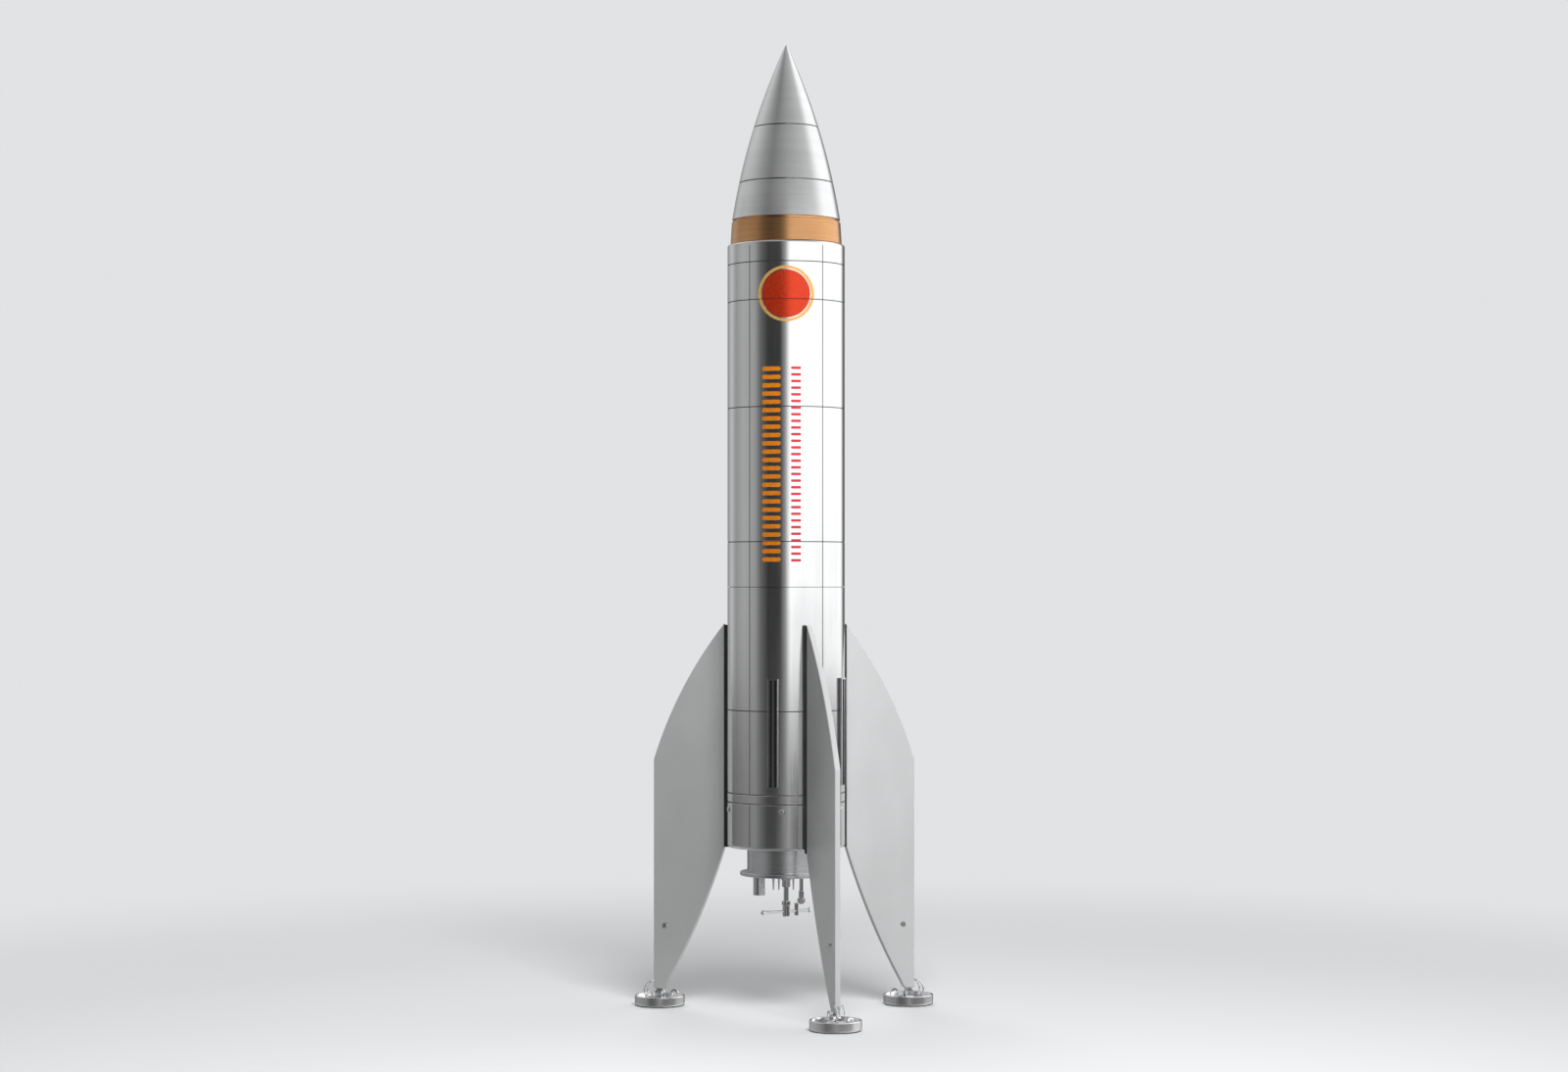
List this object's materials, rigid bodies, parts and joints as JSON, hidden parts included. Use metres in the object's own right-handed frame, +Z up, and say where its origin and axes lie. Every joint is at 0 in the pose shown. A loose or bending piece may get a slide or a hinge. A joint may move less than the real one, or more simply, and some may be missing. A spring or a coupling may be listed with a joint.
{
  "type": "model rocket",
  "caption": "Slim metal model rocket with a pointed nose on a copper-coloured band, swept fins on tilting feet and a tail hatch held by a T-handle.",
  "frame": {"origin": "on the rocket's axis at ground level, where the three soles rest", "axes": "+Z up along the rocket's axis to the nose's tip; -Y faces the side with the decals; +X is to the right of a viewer who faces the decals"},
  "size_m": [0.171, 0.1361, 0.5445],
  "materials": {
    "airframe_metal": "satin lengthwise brushed tube with engraved panel lines",
    "nose_metal": "fine satin turned finish",
    "copper_band": "satin copper-coloured anodising",
    "fin_metal": "smooth satin silver-grey",
    "fin_rail_black": "matt black",
    "guide_metal": "satin extrusion with dark grooves",
    "tail_metal": "turned aluminium",
    "chrome": "polished",
    "steel": "bright steel",
    "sole_rubber": "matt black rubber",
    "plywood": "birch plywood",
    "tube_board": "wound kraft board",
    "motor_red": "red anodised motor case",
    "chute_fabric": "orange ripstop nylon",
    "ballast_iron": "painted iron weight",
    "decal_red": "thin glossy decal film",
    "decal_gold": "thin glossy decal film",
    "decal_orange": "thin glossy decal film",
    "decal_crimson": "thin glossy decal film"
  },
  "bodies": {
    "airframe": {"body_tube": "airframe_metal", "fin_can": "airframe_metal", "joint_band": "airframe_metal", "aft_skirt": "airframe_metal", "body_coupler": "tube_board", "aft_coupler": "tube_board", "ejection_baffle": "plywood", "harness_bolt": "steel", "harness_eye": "steel", "parachute_bundle": "chute_fabric", "motor_tube": "tube_board", "centring_rings": "plywood", "motor_casing": "motor_red", "motor_aft_closure": "tail_metal", "motor_forward_closure": "tail_metal", "fin_front": "fin_metal", "fin_right": "fin_metal", "fin_left": "fin_metal", "fin_rails": "fin_rail_black", "fin_tongues": "steel", "fin_rivets": "steel", "foot_pivot_pins": "steel", "guide_rails": "guide_metal", "skirt_screws": "steel", "emblem_disc": "decal_red", "emblem_ring": "decal_gold", "wide_stripe": "decal_orange", "narrow_stripe": "decal_crimson", "tail_collar": "tail_metal"},
    "nose": {"nose_tip": "nose_metal", "nose_mid_section": "nose_metal", "nose_base_section": "nose_metal", "nose_band": "copper_band", "nose_shoulder": "tube_board", "nose_tie_rod": "steel", "nose_ballast": "ballast_iron", "nose_eye": "steel"},
    "hatch": {"tail_hatch": "tail_metal", "spindle_gland": "steel", "exhaust_stub": "tail_metal", "igniter_pins": "chrome", "vent_pipe": "chrome", "vent_nut": "steel"},
    "t_handle": {"t_handle_spindle": "chrome", "t_handle_bar": "chrome", "t_handle_pinch_screw": "chrome"},
    "foot_front": {"foot_pad_front": "chrome", "foot_sole_front": "sole_rubber", "foot_bracket_front": "chrome"},
    "bail_front": {"foot_bail_front": "chrome"},
    "foot_right": {"foot_pad_right": "chrome", "foot_sole_right": "sole_rubber", "foot_bracket_right": "chrome"},
    "bail_right": {"foot_bail_right": "chrome"},
    "foot_left": {"foot_pad_left": "chrome", "foot_sole_left": "sole_rubber", "foot_bracket_left": "chrome"},
    "bail_left": {"foot_bail_left": "chrome"}
  },
  "joints": [
    {"name": "nose_lift", "type": "slide", "parent": "airframe", "child": "nose", "axis": [0, 0, 1], "range_m": [0, 0.08]},
    {"name": "hatch_drop", "type": "slide", "parent": "airframe", "child": "hatch", "axis": [0, 0, -1], "range_m": [0, 0.03]},
    {"name": "t_handle_turn", "type": "hinge", "parent": "hatch", "child": "t_handle", "pos_m": [0, 0, 0.0567], "axis": [0, 0, -1], "range_deg": [0, 90]},
    {"name": "foot_tilt_front", "type": "hinge", "parent": "airframe", "child": "foot_front", "pos_m": [0.02668, -0.0733, 0.0069], "axis": [0.9397, 0.342, 0], "range_deg": [-6, 6]},
    {"name": "bail_swing_front", "type": "hinge", "parent": "foot_front", "child": "bail_front", "pos_m": [0.02934, -0.08063, 0.0051], "axis": [0.9397, 0.342, 0], "range_deg": [0, 60]},
    {"name": "foot_tilt_right", "type": "hinge", "parent": "airframe", "child": "foot_right", "pos_m": [0.07011, 0.03419, 0.0069], "axis": [-0.4384, 0.8988, 0], "range_deg": [-6, 6]},
    {"name": "bail_swing_right", "type": "hinge", "parent": "foot_right", "child": "bail_right", "pos_m": [0.07712, 0.03761, 0.0051], "axis": [-0.4384, 0.8988, 0], "range_deg": [0, 60]},
    {"name": "foot_tilt_left", "type": "hinge", "parent": "airframe", "child": "foot_left", "pos_m": [-0.07232, 0.02922, 0.0069], "axis": [-0.3746, -0.9272, 0], "range_deg": [-6, 6]},
    {"name": "bail_swing_left", "type": "hinge", "parent": "foot_left", "child": "bail_left", "pos_m": [-0.07955, 0.03214, 0.0051], "axis": [-0.3746, -0.9272, 0], "range_deg": [0, 60]}
  ]
}
